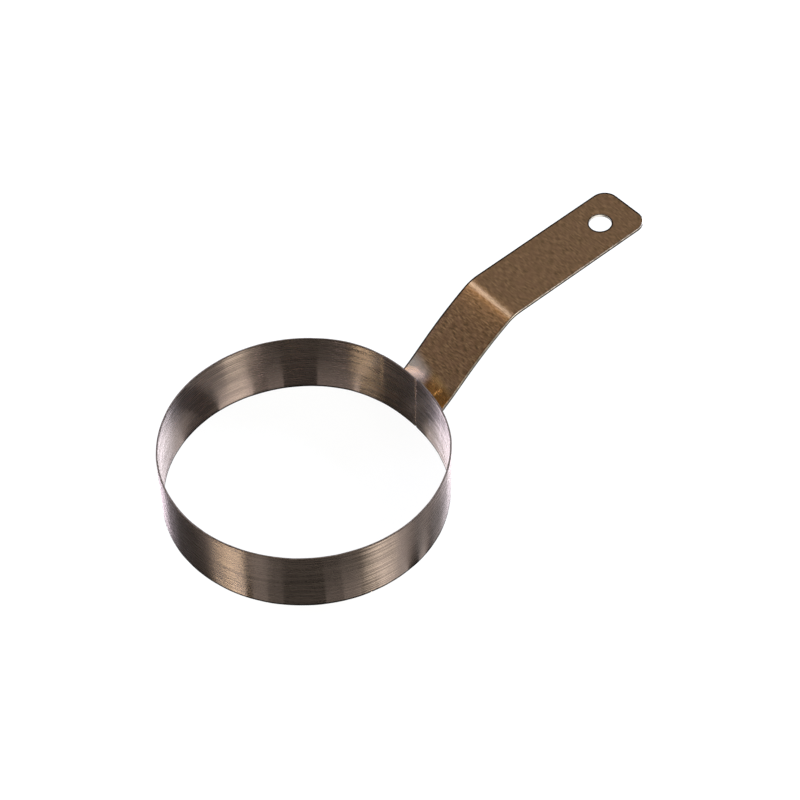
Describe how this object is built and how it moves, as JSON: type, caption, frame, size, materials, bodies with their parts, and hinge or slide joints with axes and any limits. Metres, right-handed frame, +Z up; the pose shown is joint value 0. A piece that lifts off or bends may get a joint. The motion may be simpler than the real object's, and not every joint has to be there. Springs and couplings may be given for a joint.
{
  "type": "egg ring",
  "caption": "Round open band of brushed steel with a bent flat-strip handle that rises from its outer wall and ends in a hang hole.",
  "frame": {"origin": "midpoint of the part's length and width, on the plane that the ring stands on", "axes": "+X from the ring along the handle towards its hang hole, +Z up along the ring's axis, +Y to the left of the handle as seen from the ring"},
  "size_m": [0.2032, 0.1028, 0.0497],
  "materials": {
    "band_steel": "brushed along the strip",
    "handle_steel": "brushed across the strip",
    "weld_steel": "dull, as melted"
  },
  "bodies": {
    "root": {"ring_band": "band_steel", "handle": "handle_steel", "spot_weld_upper_left": "weld_steel", "spot_weld_upper_right": "weld_steel", "spot_weld_lower_left": "weld_steel", "spot_weld_lower_right": "weld_steel"}
  },
  "joints": []
}
